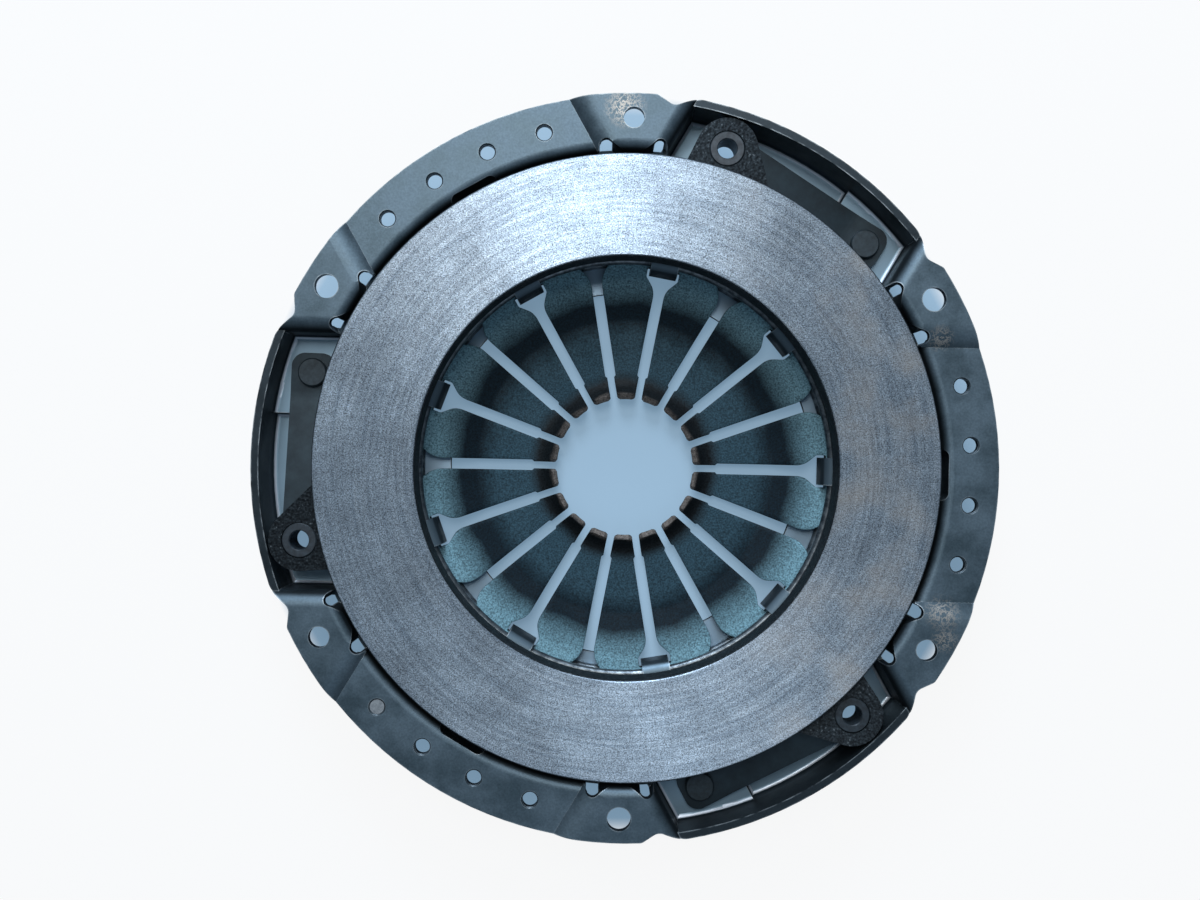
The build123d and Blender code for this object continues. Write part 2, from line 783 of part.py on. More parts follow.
def make_cover_rivet(turn):
    # Flat head on the top leaf, shank through the leaves and pad, small tail below.
    top = strap_pad_z + stack_height
    under = -pad_depth - sheet
    with BuildPart() as rivet:
        with Locations((0, 0, top)):
            Cylinder(
                cover_rivet_head_diameter / 2,
                cover_rivet_head_height,
                align=(Align.CENTER, Align.CENTER, Align.MIN),
            )
            chamfer(rivet.edges().group_by(Axis.Z)[-1], 0.5)
        with Locations((0, 0, under)):
            Cylinder(
                cover_rivet_shank / 2,
                top - under + 1,
                align=(Align.CENTER, Align.CENTER, Align.MIN),
            )
            Cylinder(
                cover_rivet_tail_diameter / 2,
                cover_rivet_tail_height,
                align=(Align.CENTER, Align.CENTER, Align.MAX),
            )
        chamfer(rivet.edges().group_by(Axis.Z)[0], 0.6)
    return rivet.part.moved(at_angle(cover_rivet_angle + turn, rivet_circle_radius))


def make_lug_rivet(turn):
    # Hollow rivet: flange in the lug's counterbore, tail under the bottom leaf.
    flange_top = -lug_top_drop
    with BuildPart() as rivet:
        with Locations((0, 0, flange_top)):
            Cylinder(
                lug_rivet_flange_diameter / 2,
                lug_rivet_flange_height,
                align=(Align.CENTER, Align.CENTER, Align.MAX),
            )
        chamfer(rivet.edges().group_by(Axis.Z)[-1], 0.4)
        with Locations((0, 0, flange_top - 1)):
            Cylinder(
                lug_rivet_shank / 2,
                flange_top - 1 - strap_lug_z,
                align=(Align.CENTER, Align.CENTER, Align.MAX),
            )
        with Locations((0, 0, strap_lug_z)):
            Cylinder(
                lug_rivet_tail_diameter / 2,
                lug_rivet_tail_height,
                align=(Align.CENTER, Align.CENTER, Align.MAX),
            )
        chamfer(rivet.edges().group_by(Axis.Z)[0], 0.6)
        Cylinder(lug_rivet_bore / 2, 4 * bowl_depth, mode=Mode.SUBTRACT)
        rims = rivet.edges().filter_by(GeomType.CIRCLE)
        chamfer([e for e in rims if abs(e.radius - lug_rivet_bore / 2) < 0.01], 0.3)
    return rivet.part.moved(at_angle(lug_angle + turn, rivet_circle_radius))


def make_balance_rivet():
    # Balance rivet, put in from the back, with its shank end below the rim's face.
    under = -sector_drop - sheet
    with BuildPart() as rivet:
        with Locations((0, 0, under)):
            Cylinder(
                balance_rivet_head_diameter / 2,
                balance_rivet_head_height,
                align=(Align.CENTER, Align.CENTER, Align.MAX),
            )
            Cylinder(
                balance_hole_diameter / 2 - rivet_hole_clearance,
                sheet - balance_rivet_recess,
                align=(Align.CENTER, Align.CENTER, Align.MIN),
            )
        chamfer(rivet.edges().group_by(Axis.Z)[0], 0.5)
    return rivet.part.moved(at_angle(balance_rivet_angle, balance_circle_radius))


def main():
    pieces = {
        "cover": make_cover(),
        "pressure_plate": make_pressure_plate(),
        "diaphragm_spring": make_diaphragm_spring(),
        "fulcrum_ring_flywheel_side": make_wire_ring(flywheel_wire_z),
        "fulcrum_ring_cover_side": make_wire_ring(cover_wire_z),
        "balance_rivet": make_balance_rivet(),
    }
    for number, turn in enumerate(third_turns, start=1):
        pieces[f"cover_rivet_{number}"] = make_cover_rivet(turn)
        pieces[f"lug_rivet_{number}"] = make_lug_rivet(turn)
        for index in range(leaf_count):
            pieces[f"strap_{number}_leaf_{index + 1}"] = make_strap_leaf(index, turn)
    os.makedirs("parts", exist_ok=True)
    for name, piece in pieces.items():
        piece.label = name
        export_step(piece, f"parts/{name}.step")


if __name__ == "__main__":
    main()
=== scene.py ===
import math

import bmesh
import bpy
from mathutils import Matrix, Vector


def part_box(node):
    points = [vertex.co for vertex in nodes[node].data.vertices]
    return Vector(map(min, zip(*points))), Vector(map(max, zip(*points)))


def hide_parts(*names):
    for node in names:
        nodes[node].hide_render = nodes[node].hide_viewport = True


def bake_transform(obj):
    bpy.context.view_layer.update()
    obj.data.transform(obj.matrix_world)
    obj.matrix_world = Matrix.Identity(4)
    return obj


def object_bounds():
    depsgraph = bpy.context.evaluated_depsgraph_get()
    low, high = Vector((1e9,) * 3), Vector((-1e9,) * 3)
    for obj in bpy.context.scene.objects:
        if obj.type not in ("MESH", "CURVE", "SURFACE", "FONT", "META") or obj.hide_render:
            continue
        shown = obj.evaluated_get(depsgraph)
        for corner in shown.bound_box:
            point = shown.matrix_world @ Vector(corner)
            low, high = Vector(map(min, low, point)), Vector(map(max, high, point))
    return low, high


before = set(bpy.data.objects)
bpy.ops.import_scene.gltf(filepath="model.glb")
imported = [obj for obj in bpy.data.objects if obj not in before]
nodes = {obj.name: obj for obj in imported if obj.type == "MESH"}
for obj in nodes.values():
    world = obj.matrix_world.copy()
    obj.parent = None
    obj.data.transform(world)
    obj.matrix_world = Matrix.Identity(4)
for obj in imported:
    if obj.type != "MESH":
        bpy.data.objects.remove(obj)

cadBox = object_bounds()
mm = 0.001
perMetre = 1000          # a pattern's scale is this over its size in mm
print("clutch cover: frame loaded,", len(nodes), "nodes")


# Small helpers, and settings that many nodes share

colourMix = {"data_type": "RGBA"}
multiplyMix = {"data_type": "RGBA", "blend_type": "MULTIPLY", 0: 1.0}
noiseSpan = {"From Min": 0.3, "From Max": 0.7}     # most of a noise's values lie between these


def linear(hexColour):
    # sRGB hex to the linear values that Blender works in
    parts = [int(hexColour[i:i + 2], 16) / 255 for i in (1, 3, 5)]
    return tuple(c / 12.92 if c <= 0.04045 else ((c + 0.055) / 1.055) ** 2.4 for c in parts) + (1.0,)


def addNode(tree, kind, settings=None, links=None):
    # settings are properties, input names or input numbers; "points" fills a curve, "stops" a ramp;
    # a link comes from a socket, or from a node's first output
    node = tree.nodes.new(kind)
    for name, value in (settings or {}).items():
        if name == "points":
            curve = node.mapping.curves[0]
            while len(curve.points) < len(value):
                curve.points.new(0.5, 0.5)
            for point, place in zip(curve.points, value):
                point.location = place
                point.handle_type = "VECTOR"
            node.mapping.update()
        elif name == "stops":
            while len(node.color_ramp.elements) < len(value):
                node.color_ramp.elements.new(0.5)
            for stop, (position, colour) in zip(node.color_ramp.elements, value):
                stop.position = position
                stop.color = linear(colour)
        elif isinstance(name, str) and hasattr(node, name):
            setattr(node, name, value)
        else:
            node.inputs[name].default_value = value
    for name, source in (links or {}).items():
        tree.links.new(source.outputs[0] if hasattr(source, "outputs") else source, node.inputs[name])
    return node


def newMaterial(name):
    material = bpy.data.materials.new(name)
    material.use_nodes = True
    tree = material.node_tree
    shader = tree.nodes["Principled BSDF"]
    return material, tree, shader


def fromAxis(tree):
    # where a point is: its place, x and height, its place on the clutch's plane, and its radius there
    place = addNode(tree, "ShaderNodeTexCoord").outputs["Object"]
    split = addNode(tree, "ShaderNodeSeparateXYZ", {}, {0: place})
    flat = addNode(tree, "ShaderNodeCombineXYZ", {}, {0: split.outputs[0], 1: split.outputs[1]})
    radius = addNode(tree, "ShaderNodeVectorMath", {"operation": "LENGTH"}, {0: flat}).outputs["Value"]
    return {"place": place, "x": split.outputs[0], "height": split.outputs[2], "flat": flat, "radius": radius}


def edgeTurn(tree, width):
    # 1 on a face, and less where a round edge of this width would turn away from it
    soft = addNode(tree, "ShaderNodeBevel", {"samples": 6, "Radius": width * mm})
    sharp = addNode(tree, "ShaderNodeNewGeometry")
    same = addNode(tree, "ShaderNodeVectorMath", {"operation": "DOT_PRODUCT"},
                   {0: soft, 1: sharp.outputs["Normal"]})
    return same.outputs["Value"]


def joinShader(tree, shader, finish, colour, rough, normal):
    shader.inputs["Metallic"].default_value = finish["metallic"]
    tree.links.new(colour, shader.inputs["Base Color"])
    tree.links.new(rough, shader.inputs["Roughness"])
    tree.links.new(normal, shader.inputs["Normal"])


def around(angle, radius, z=0.0):
    # a place on the clutch, from millimetres and degrees
    turn = math.radians(angle)
    return Vector((radius * math.cos(turn), radius * math.sin(turn), z)) * mm


# Pressed cover: deep drawn steel sheet, zinc phosphated and oiled. The phosphate gives a blue-grey
# cloudy surface, and edges and feet are rubbed bright. Walls, slopes, low rims and tabs get painted
# shade, pocket floors and the back wall painted light, and each floor's corner a painted highlight.
sheetFinish = {
    "light": "#576a77",
    "dark": "#42545f",
    # painted shade colour for walls, slopes, low rims and tabs
    "paintedShade": "#10171c",
    # painted light for the pocket floors and the back wall, which lie in shade
    "paintedFloorLight": "#84a1b5",
    "paintedBackWallLight": "#9dbbd2",
    "paintedHighlight": "#d5e3f2",     # painted highlight along the corner of each pocket's floor
    "rubbed": "#a3b0b8",
    "scuff": "#a3a09a",
    "metallic": 0.7,
    "roughness": (0.38, 0.56),
    "cloudSize": 16,        # mm, uneven phosphate
    "cloudStops": (0.36, 0.62),
    "grainSize": 0.8,       # mm, crystals are 0.02 mm, drawn coarse to show
    "grainShade": (0.78, 1.2),
    "grainShare": 0.7,
    "grainDepth": 0.03,     # mm
    "grainStrength": 0.5,
    "wallBand": (0.97, 0.55),       # painted shade on walls and slopes, from this much of a level face
    "wallShare": 0.88,
    "rimRadius": 141.8,     # mm, outside this the low rim of a pocket gets the walls' painted shade
    "rimLevel": -3.3,
    "rimShare": 0.8,
    "tabRadius": 91.0,      # mm, the bent tabs inside this get painted shade
    "tabLevel": -28.0,
    "tabShare": 0.6,
    "floorLevels": (-17.0, -18.0),  # mm, pocket floors below this get painted light
    "floorShare": 0.8,
    "backLevels": (-28.0, -30.0),   # mm, and the back wall more painted light
    "backShare": 0.9,
    "shineBand": (0.62, 0.74, 0.90, 0.97),
    "shineLevels": (-25.0, -15.0),  # mm
    "shineRadius": 124.5,
    "shineShare": 0.85,
    "edgeWidth": 0.9,       # mm, edges are rubbed in patches
    "edgeBand": (0.985, 0.80),
    "edgeShare": 1.2,
    "patchSize": 5.0,
    "patchBand": (0.38, 0.62),
    "scratchSize": 2.2,     # mm, scuffs are tangles of scratches
    "scratchWidth": 0.05,
    "scratchShare": 0.9,
    "scuffLevel": -0.5,
    "scuffCore": 0.3,
    "scuffs": ((91.5, 139.0, 9.0), (71.0, 138.0, 5.0), (336.6, 134.0, 8.0), (333.0, 139.0, 6.0),
               (23.6, 131.0, 6.0)),     # degrees, radius and reach in mm
}


def phosphatedSheet(finish):
    material, tree, shader = newMaterial("phosphatedSteelSheet")
    here = fromAxis(tree)
    place, radius, height = here["place"], here["radius"], here["height"]
    clouds = addNode(tree, "ShaderNodeTexNoise", {"Scale": perMetre / finish["cloudSize"], "Detail": 6.0,
                     "Roughness": 0.62}, {"Vector": place})
    darkStop, lightStop = finish["cloudStops"]
    cloudy = addNode(tree, "ShaderNodeValToRGB",
                     {"stops": ((darkStop, finish["dark"]), (lightStop, finish["light"]))}, {0: clouds})
    grain = addNode(tree, "ShaderNodeTexNoise", {"Scale": perMetre / finish["grainSize"], "Detail": 3.0},
                    {"Vector": place})
    grainShade = addNode(tree, "ShaderNodeMapRange", noiseSpan | {"To Min": finish["grainShade"][0],
                         "To Max": finish["grainShade"][1]}, {0: grain})
    speckled = addNode(tree, "ShaderNodeMix", multiplyMix | {0: finish["grainShare"]},
                       {6: cloudy, 7: grainShade})

    # painted shade on steep walls and slopes, low rims and tabs
    sharp = addNode(tree, "ShaderNodeNewGeometry")
    facing = addNode(tree, "ShaderNodeSeparateXYZ", {}, {0: sharp.outputs["Normal"]})
    up = addNode(tree, "ShaderNodeMath", {"operation": "ABSOLUTE"}, {0: facing.outputs[2]})
    level, upright = finish["wallBand"]
    wall = addNode(tree, "ShaderNodeMapRange", {"From Min": level, "From Max": upright,
                   "To Max": finish["wallShare"]}, {0: up})
    outside = addNode(tree, "ShaderNodeMath", {"operation": "GREATER_THAN", 1: finish["rimRadius"] * mm},
                      {0: radius})
    low = addNode(tree, "ShaderNodeMath", {"operation": "LESS_THAN", 1: finish["rimLevel"] * mm}, {0: height})
    rim = addNode(tree, "ShaderNodeMath", {"operation": "MULTIPLY"}, {0: outside, 1: low})
    rimDark = addNode(tree, "ShaderNodeMath", {"operation": "MULTIPLY", 1: finish["rimShare"]}, {0: rim})
    inner = addNode(tree, "ShaderNodeMath", {"operation": "LESS_THAN", 1: finish["tabRadius"] * mm},
                    {0: radius})
    raised = addNode(tree, "ShaderNodeMath", {"operation": "GREATER_THAN", 1: finish["tabLevel"] * mm},
                     {0: height})
    tabs = addNode(tree, "ShaderNodeMath", {"operation": "MULTIPLY"}, {0: inner, 1: raised})
    tabDark = addNode(tree, "ShaderNodeMath", {"operation": "MULTIPLY_ADD", 1: finish["tabShare"]},
                      {0: tabs, 2: rimDark})
    # painted shade: the larger of the walls' mask and the rims' and tabs' mask
    paintedShadeMask = addNode(tree, "ShaderNodeMath", {"operation": "MAXIMUM"}, {0: wall, 1: tabDark})

    # painted light on pocket floors, and more on the back wall
    masks = []
    for part in ("floor", "back"):
        start, full = finish[part + "Levels"]
        masks.append(addNode(tree, "ShaderNodeMapRange", {"From Min": start * mm, "From Max": full * mm,
                     "To Max": finish[part + "Share"]}, {0: height}))
    floorMask, backMask = masks

    # painted highlight on each floor's corner: a band of slopes between two levels, outside a radius
    steep, steepFull, levelFull, level = finish["shineBand"]
    bottom, top = finish["shineLevels"]
    paintedHighlight = addNode(tree, "ShaderNodeMapRange", {"From Min": steep, "From Max": steepFull,
                    "To Max": finish["shineShare"]}, {0: up})
    falling = addNode(tree, "ShaderNodeMapRange", {"From Min": level, "From Max": levelFull}, {0: up})
    above = addNode(tree, "ShaderNodeMath", {"operation": "GREATER_THAN", 1: bottom * mm}, {0: height})
    below = addNode(tree, "ShaderNodeMath", {"operation": "LESS_THAN", 1: top * mm}, {0: height})
    outer = addNode(tree, "ShaderNodeMath", {"operation": "GREATER_THAN", 1: finish["shineRadius"] * mm},
                    {0: radius})
    for part in (falling, above, below, outer):
        paintedHighlight = addNode(tree, "ShaderNodeMath", {"operation": "MULTIPLY"}, {0: paintedHighlight, 1: part})

    # edges rubbed bright in patches
    face, turned = finish["edgeBand"]
    worn = addNode(tree, "ShaderNodeMapRange", {"From Min": face, "From Max": turned,
                   "To Max": finish["edgeShare"]}, {0: edgeTurn(tree, finish["edgeWidth"])})
    patches = addNode(tree, "ShaderNodeTexNoise", {"Scale": perMetre / finish["patchSize"], "Detail": 4.0},
                      {"Vector": place})
    bare, full = finish["patchBand"]
    wornPatches = addNode(tree, "ShaderNodeMapRange", {"From Min": bare, "From Max": full}, {0: patches})
    edge = addNode(tree, "ShaderNodeMath", {"operation": "MULTIPLY", "use_clamp": True},
                   {0: worn, 1: wornPatches})

    # scuffs at a few places: a noise is near its middle along thin lines
    scratchy = addNode(tree, "ShaderNodeTexNoise", {"Scale": perMetre / finish["scratchSize"], "Detail": 5.0,
                       "Roughness": 0.7}, {"Vector": place})
    offLine = addNode(tree, "ShaderNodeMath", {"operation": "SUBTRACT", 1: 0.5}, {0: scratchy})
    offLineSize = addNode(tree, "ShaderNodeMath", {"operation": "ABSOLUTE"}, {0: offLine})
    scratches = addNode(tree, "ShaderNodeMapRange", {"From Min": finish["scratchWidth"], "From Max": 0.0,
                        "To Max": finish["scratchShare"]}, {0: offLineSize})
    near = None
    for angle, scuffRadius, reach in finish["scuffs"]:
        away = addNode(tree, "ShaderNodeVectorMath",
                       {"operation": "DISTANCE", 1: around(angle, scuffRadius, finish["scuffLevel"])},
                       {0: place})
        spot = addNode(tree, "ShaderNodeMapRange", {"From Min": reach * mm,
                       "From Max": finish["scuffCore"] * reach * mm}, {0: away.outputs["Value"]})
        if near is None:
            near = spot
        else:
            near = addNode(tree, "ShaderNodeMath", {"operation": "MAXIMUM"}, {0: near, 1: spot})
    scuffed = addNode(tree, "ShaderNodeMath", {"operation": "MULTIPLY"}, {0: near, 1: scratches})

    colour = speckled
    for mask, name in ((floorMask, "paintedFloorLight"), (backMask, "paintedBackWallLight"), (paintedShadeMask, "paintedShade"), (paintedHighlight, "paintedHighlight"),
                       (edge, "rubbed"), (scuffed, "scuff")):
        colour = addNode(tree, "ShaderNodeMix", colourMix | {7: linear(finish[name])},
                         {0: mask, 6: colour.outputs[2]})
    rough = addNode(tree, "ShaderNodeMapRange", noiseSpan | {"To Min": finish["roughness"][0],
                    "To Max": finish["roughness"][1]}, {0: clouds})
    bump = addNode(tree, "ShaderNodeBump", {"Strength": finish["grainStrength"],
                   "Distance": finish["grainDepth"] * mm}, {"Height": grain})
    joinShader(tree, shader, finish, colour.outputs[2], rough.outputs[0], bump.outputs[0])
    return material


# Pressure plate: grey cast iron. Its face is turned, so circular grooves draw the light out into a
# bright wedge; lugs, rim and back keep the rough dark skin of the sand mould.
castFinish = {
    "turned": "#a2b3c2",
    "turnedDark": "#758696",
    "warm": "#b4aa9c",
    "skin": "#191f24",
    "skinLight": "#343e45",
    "bare": "#8b979f",
    "skinStops": (0.38, 0.66, 0.78),
    "metallic": 0.85,
    "faceTop": -1.15,       # mm, above this level the metal is turned
    "faceRadius": 122.1,
    "ragged": 1.2,          # mm, the rim's edge is broken where the tool left it
    "chipSize": 3.5,
    "faceRoughness": (0.50, 0.40),
    "stretch": 0.72,        # anisotropy along the grooves
    "arcTurns": 3.0,        # patterns on the face: arcs and streaks that follow the tool
    "arcPitch": 1.3,        # mm
    "streakTurns": 38.0,
    "streakPitch": 11.0,
    "streakBand": (0.35, 0.65),
    "streakShade": (0.88, 1.08),
    "streakShare": 0.8,
    "grit": 0.45,           # mm, torn grains of the cut, drawn coarse to show
    "gritShade": (0.25, 1.75),
    "stainSize": 26,        # mm
    "stainShade": (0.80, 1.20),
    "warmBand": (0.46, 0.70),
    "warmShare": 0.45,
    "warmSide": (30, 90),   # mm, the stains turn warm towards +X
    "groovePitch": 1.05,    # mm, real feed marks are 0.3 mm, drawn coarse to show
    "grooveDepth": 0.012,
    "grooveStrength": 0.6,
    "sandSize": 0.8,        # mm, moulding sand, drawn coarse
    "pitSize": 1.7,         # times the sand
    "sandDepth": 0.16,
    "sandStrength": 0.8,
    "sandRoughness": 0.62,
}


def turnedCastIron(finish):
    material, tree, shader = newMaterial("turnedGreyCastIron")
    here = fromAxis(tree)
    place, radius = here["place"], here["radius"]
    outward = addNode(tree, "ShaderNodeVectorMath", {"operation": "NORMALIZE"}, {0: here["flat"]})

    # polar coordinates without a seam: direction on a circle, radius up its axis
    def polar(turns, pitch):
        ring = addNode(tree, "ShaderNodeVectorMath", {"operation": "SCALE", "Scale": turns}, {0: outward})
        ringSplit = addNode(tree, "ShaderNodeSeparateXYZ", {}, {0: ring})
        out = addNode(tree, "ShaderNodeMath", {"operation": "MULTIPLY", 1: 1 / (pitch * mm)}, {0: radius})
        return addNode(tree, "ShaderNodeCombineXYZ", {},
                       {0: ringSplit.outputs[0], 1: ringSplit.outputs[1], 2: out}).outputs[0]

    arcs = addNode(tree, "ShaderNodeTexNoise", {"Scale": 1.0, "Detail": 4.0, "Roughness": 0.7},
                   {"Vector": polar(finish["arcTurns"], finish["arcPitch"])})
    streaks = addNode(tree, "ShaderNodeTexNoise", {"Scale": 1.0, "Detail": 3.0, "Roughness": 0.65},
                      {"Vector": polar(finish["streakTurns"], finish["streakPitch"])})
    grit = addNode(tree, "ShaderNodeTexNoise", {"Scale": perMetre / finish["grit"], "Detail": 3.0},
                   {"Vector": place})
    blotches = addNode(tree, "ShaderNodeTexNoise", {"Scale": perMetre / finish["stainSize"], "Detail": 4.0},
                       {"Vector": place})
    ringGap = 2 * math.pi / 20      # between a wave node's rings at a scale of 1
    groove = addNode(tree, "ShaderNodeTexWave", {"wave_type": "RINGS", "rings_direction": "Z",
                     "Scale": ringGap / (finish["groovePitch"] * mm), "Distortion": 1.2,
                     "Detail": 2.0}, {"Vector": place})

    # the face's colour: arcs, then each pattern multiplied on, then warm stains on one side
    arcShade = addNode(tree, "ShaderNodeMapRange", noiseSpan, {0: arcs})
    turned = addNode(tree, "ShaderNodeMix", colourMix | {6: linear(finish["turnedDark"]),
                     7: linear(finish["turned"])}, {0: arcShade})
    streakBand = {"From Min": finish["streakBand"][0], "From Max": finish["streakBand"][1]}
    for pattern, span, name, share in ((grit, noiseSpan, "gritShade", 1.0),
                                       (streaks, streakBand, "streakShade", finish["streakShare"]),
                                       (blotches, noiseSpan, "stainShade", 1.0)):
        shade = addNode(tree, "ShaderNodeMapRange", span | {"To Min": finish[name][0],
                        "To Max": finish[name][1]}, {0: pattern})
        turned = addNode(tree, "ShaderNodeMix", multiplyMix | {0: share}, {6: turned.outputs[2], 7: shade})
    warmSpots = addNode(tree, "ShaderNodeMapRange", {"From Min": finish["warmBand"][0],
                        "From Max": finish["warmBand"][1], "To Max": finish["warmShare"]}, {0: blotches})
    warmStart, warmFull = finish["warmSide"]
    warmSide = addNode(tree, "ShaderNodeMapRange", {"From Min": warmStart * mm, "From Max": warmFull * mm},
                       {0: here["x"]})
    warmMask = addNode(tree, "ShaderNodeMath", {"operation": "MULTIPLY"}, {0: warmSpots, 1: warmSide})
    warmed = addNode(tree, "ShaderNodeMix", colourMix | {7: linear(finish["warm"])},
                     {0: warmMask, 6: turned.outputs[2]})

    # turned where it is high and inside the face's edge
    high = addNode(tree, "ShaderNodeMath", {"operation": "GREATER_THAN", 1: finish["faceTop"] * mm},
                   {0: here["height"]})
    chips = addNode(tree, "ShaderNodeTexNoise", {"Scale": perMetre / finish["chipSize"], "Detail": 3.0},
                    {"Vector": place})
    chipped = addNode(tree, "ShaderNodeMath", {"operation": "MULTIPLY_ADD", 1: finish["ragged"] * mm},
                      {0: chips, 2: radius})
    inside = addNode(tree, "ShaderNodeMath", {"operation": "LESS_THAN", 1: finish["faceRadius"] * mm},
                     {0: chipped})
    face = addNode(tree, "ShaderNodeMath", {"operation": "MULTIPLY"}, {0: high, 1: inside})

    sand = addNode(tree, "ShaderNodeTexNoise", {"Scale": perMetre / finish["sandSize"], "Detail": 4.0},
                   {"Vector": place})
    pits = addNode(tree, "ShaderNodeTexVoronoi",
                   {"Scale": perMetre / (finish["pitSize"] * finish["sandSize"])}, {"Vector": place})
    skinColours = zip(finish["skinStops"], (finish["skin"], finish["skinLight"], finish["bare"]))
    skin = addNode(tree, "ShaderNodeValToRGB", {"stops": tuple(skinColours)}, {0: sand})
    colour = addNode(tree, "ShaderNodeMix", colourMix, {0: face, 6: skin, 7: warmed.outputs[2]})
    faceRough = addNode(tree, "ShaderNodeMapRange", noiseSpan | {"To Min": finish["faceRoughness"][0],
                        "To Max": finish["faceRoughness"][1]}, {0: grit})
    rough = addNode(tree, "ShaderNodeMix", {"data_type": "FLOAT", 2: finish["sandRoughness"]},
                    {0: face, 3: faceRough})

    sandHeight = addNode(tree, "ShaderNodeMath", {"operation": "ADD"}, {0: sand, 1: pits})
    sandBump = addNode(tree, "ShaderNodeBump", {"Strength": finish["sandStrength"],
                       "Distance": finish["sandDepth"] * mm}, {"Height": sandHeight})
    grooveBump = addNode(tree, "ShaderNodeBump", {"Strength": finish["grooveStrength"],
                         "Distance": finish["grooveDepth"] * mm}, {"Height": groove.outputs["Fac"]})
    normal = addNode(tree, "ShaderNodeMix", {"data_type": "VECTOR"}, {0: face, 4: sandBump, 5: grooveBump})
    shader.inputs["Anisotropic"].default_value = finish["stretch"]
    tree.links.new(outward.outputs[0], shader.inputs["Tangent"])
    joinShader(tree, shader, finish, colour.outputs[2], rough.outputs[0], normal.outputs[1])
    return material


# Diaphragm spring: hardened spring steel, shot peened and oiled. Peening gives a fine even dimple
# and a matt blue-green surface; the bearing has polished the finger tips brown. Its bands by radius
# are painted light and shade: light on the outer cone, shade at the step and on the curl behind the tips.
springFinish = {
    "outer": "#688f9f",
    "middle": "#0b1c26",
    "inner": "#2a4350",
    "bend": "#161c20",
    "tip": "#625e5b",
    "bandRadii": (27, 84),  # mm, the bands below lie between these
    # outer is painted light, middle and bend are painted shade, tip is the bearing's polish
    "bands": ((0.035, "tip"), (0.065, "bend"), (0.14, "bend"), (0.23, "inner"), (0.46, "inner"),
              (0.60, "middle"), (0.70, "middle"), (0.92, "outer")),
    "bandDrift": 1.2,       # mm, the bands' limits wander by this
    "cloudSize": 14,        # mm
    "metallic": 0.3,
    "gloss": 0.15,
    "roughness": (0.52, 0.66),
    "dimpleSize": 0.9,      # mm, dimples are 0.3 mm, drawn coarse to show
    "dimpleDepth": 0.05,
    "dimpleStrength": 0.5,
    "glintSpeckleSize": 0.65,       # mm, specks darker and lighter at random; the light ones are painted glints
    "glintSpeckleRange": (0.45, 1.55),
    "cutEdge": "#0c1216",
    "cutEdgeWidth": 0.55,   # mm, painted shade along the stamped edges, where the sheet's cut side lies in shadow
    "cutEdgeBand": (0.99, 0.85),
    "cutEdgeShare": 0.85,
}


def peenedSpringSteel(finish):
    material, tree, shader = newMaterial("peenedSpringSteel")
    here = fromAxis(tree)
    place, radius = here["place"], here["radius"]
    clouds = addNode(tree, "ShaderNodeTexNoise", {"Scale": perMetre / finish["cloudSize"], "Detail": 5.0},
                     {"Vector": place})
    drift = addNode(tree, "ShaderNodeMapRange", noiseSpan | {"To Min": -finish["bandDrift"] * mm,
                    "To Max": finish["bandDrift"] * mm}, {0: clouds})
    uneven = addNode(tree, "ShaderNodeMath", {"operation": "ADD"}, {0: radius, 1: drift})
    innermost, outermost = finish["bandRadii"]
    along = addNode(tree, "ShaderNodeMapRange", {"From Min": innermost * mm, "From Max": outermost * mm},
                    {0: uneven})
    # painted light and shade in bands by radius: light outer cone, dark step, dark curl
    bands = addNode(tree, "ShaderNodeValToRGB",
                    {"stops": [(stop, finish[name]) for stop, name in finish["bands"]]}, {0: along})
    dimples = addNode(tree, "ShaderNodeTexVoronoi",
                      {"feature": "SMOOTH_F1", "Scale": perMetre / finish["dimpleSize"]}, {"Vector": place})
    # specks; their light ones are painted glints of the peened dimples
    glintSpeckle = addNode(tree, "ShaderNodeTexNoise", {"Scale": perMetre / finish["glintSpeckleSize"], "Detail": 2.0},
                   {"Vector": place})
    glintSpeckleShade = addNode(tree, "ShaderNodeMapRange", noiseSpan | {"To Min": finish["glintSpeckleRange"][0],
                    "To Max": finish["glintSpeckleRange"][1]}, {0: glintSpeckle})
    dulled = addNode(tree, "ShaderNodeMix", multiplyMix, {6: bands, 7: glintSpeckleShade})
    # painted shade along the stamped edges
    face, turned = finish["cutEdgeBand"]
    paintedShade = addNode(tree, "ShaderNodeMapRange", {"From Min": face, "From Max": turned,
                    "To Max": finish["cutEdgeShare"]}, {0: edgeTurn(tree, finish["cutEdgeWidth"])})
    lined = addNode(tree, "ShaderNodeMix", colourMix | {7: linear(finish["cutEdge"])},
                    {0: paintedShade, 6: dulled.outputs[2]})
    rough = addNode(tree, "ShaderNodeMapRange", noiseSpan | {"To Min": finish["roughness"][0],
                    "To Max": finish["roughness"][1]}, {0: clouds})
    bump = addNode(tree, "ShaderNodeBump", {"Strength": finish["dimpleStrength"],
                   "Distance": finish["dimpleDepth"] * mm}, {"Height": dimples})
    shader.inputs["Specular IOR Level"].default_value = finish["gloss"]
    joinShader(tree, shader, finish, lined.outputs[2], rough.outputs[0], bump.outputs[0])
    return material


